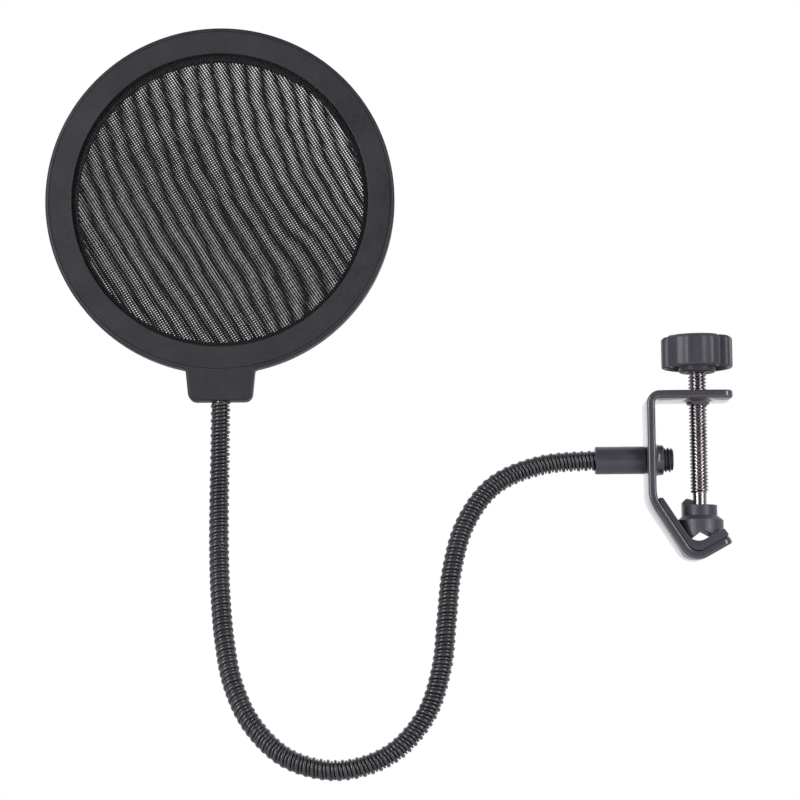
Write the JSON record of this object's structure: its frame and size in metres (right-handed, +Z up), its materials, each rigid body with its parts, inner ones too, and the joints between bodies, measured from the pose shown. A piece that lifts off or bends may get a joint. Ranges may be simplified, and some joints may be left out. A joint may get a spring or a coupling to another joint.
{
  "type": "pop filter",
  "caption": "Round double-screen pop filter on a bendable gooseneck arm that ends in a screw clamp for a microphone stand or a table edge.",
  "frame": {"origin": "on the clamp screw's axis, level with the seat of the clamp's jaw, in the middle of the strip's width", "axes": "+Z up along the clamp screw towards its knob, +X to the right seen from the front, +Y towards the back, along the screens' axis"},
  "size_m": [0.3005, 0.0764, 0.3323],
  "materials": {
    "hoop_plastic": "fine spark-eroded satin black moulded ABS",
    "screen_nylon": "black woven nylon net, stretched",
    "arm_steel": "black coated steel wire, wound",
    "sleeve_plastic": "matte black sleeve",
    "fitting_steel": "black oxide turned steel",
    "fitting_brass": "turned brass",
    "clamp_steel": "semi-gloss black powder coat",
    "screw_steel": "bright zinc plated rolled thread",
    "knob_plastic": "satin gloss black moulded plastic",
    "pad_plastic": "soft satin black moulded plastic"
  },
  "bodies": {
    "clamp": {"clamp_bracket": "clamp_steel", "jaw_liner": "pad_plastic", "neck_bushing": "fitting_steel", "neck_sleeve": "sleeve_plastic", "neck_link_1": "arm_steel"},
    "neck_2": {"neck_link_2": "arm_steel"},
    "neck_3": {"neck_link_3": "arm_steel"},
    "neck_4": {"neck_link_4": "arm_steel"},
    "neck_5": {"neck_link_5": "arm_steel"},
    "neck_6": {"neck_link_6": "arm_steel"},
    "neck_7": {"neck_link_7": "arm_steel"},
    "neck_8": {"neck_link_8": "arm_steel"},
    "head": {"neck_link_9": "arm_steel", "neck_end_fitting": "fitting_brass", "front_ring": "hoop_plastic", "rear_ring": "hoop_plastic", "mesh_spacer_ring": "hoop_plastic", "front_mesh": "screen_nylon", "rear_mesh": "screen_nylon", "tab_screw_left": "fitting_steel", "tab_screw_right": "fitting_steel"},
    "foot": {"swivel_foot": "pad_plastic"},
    "spindle": {"clamp_screw": "screw_steel", "clamp_knob": "knob_plastic", "knob_nut": "screw_steel"}
  },
  "joints": [
    {"name": "neck_bend_1", "type": "hinge", "parent": "clamp", "child": "neck_2", "pos_m": [-0.05867, -0.00029, 0.03491], "axis": [-0.036, 0.9993, -0.0028], "range_deg": [-28, 28]},
    {"name": "neck_bend_2", "type": "hinge", "parent": "neck_2", "child": "neck_3", "pos_m": [-0.10094, -0.00987, 0.0086], "axis": [0.8901, 0, -0.4557], "range_deg": [-28, 28]},
    {"name": "neck_bend_3", "type": "hinge", "parent": "neck_3", "child": "neck_4", "pos_m": [-0.1106, -0.02658, -0.04151], "axis": [0.0275, -0.9476, 0.3181], "range_deg": [-28, 28]},
    {"name": "neck_bend_4", "type": "hinge", "parent": "neck_4", "child": "neck_5", "pos_m": [-0.13133, -0.04024, -0.08707], "axis": [-0.6012, 0, 0.7991], "range_deg": [-28, 28]},
    {"name": "neck_bend_5", "type": "hinge", "parent": "neck_5", "child": "neck_6", "pos_m": [-0.181, -0.03579, -0.08709], "axis": [0.2761, 0.937, -0.2138], "range_deg": [-28, 28]},
    {"name": "neck_bend_6", "type": "hinge", "parent": "neck_6", "child": "neck_7", "pos_m": [-0.20316, -0.01155, -0.04622], "axis": [-0.9839, 0, -0.1786], "range_deg": [-28, 28]},
    {"name": "neck_bend_7", "type": "hinge", "parent": "neck_7", "child": "neck_8", "pos_m": [-0.20786, 0.01381, 0.00112], "axis": [-0.0139, -0.9183, 0.3956], "range_deg": [-28, 28]},
    {"name": "head_tilt", "type": "hinge", "parent": "neck_8", "child": "head", "pos_m": [-0.20795, 0.02492, 0.053], "axis": [0.9999, 0, -0.0124], "range_deg": [-28, 28]},
    {"name": "jaw_travel", "type": "slide", "parent": "clamp", "child": "foot", "axis": [0, 0, 1], "range_m": [0, 0.038]},
    {"name": "screw_turn", "type": "hinge", "parent": "foot", "child": "spindle", "pos_m": [0, 0, 0.04], "axis": [0, 0, 1], "range_deg": [0, 9126]}
  ],
  "couplings": [
    {"joint": "screw_turn", "follows": "jaw_travel", "rad_per_m": 4188.8}
  ]
}
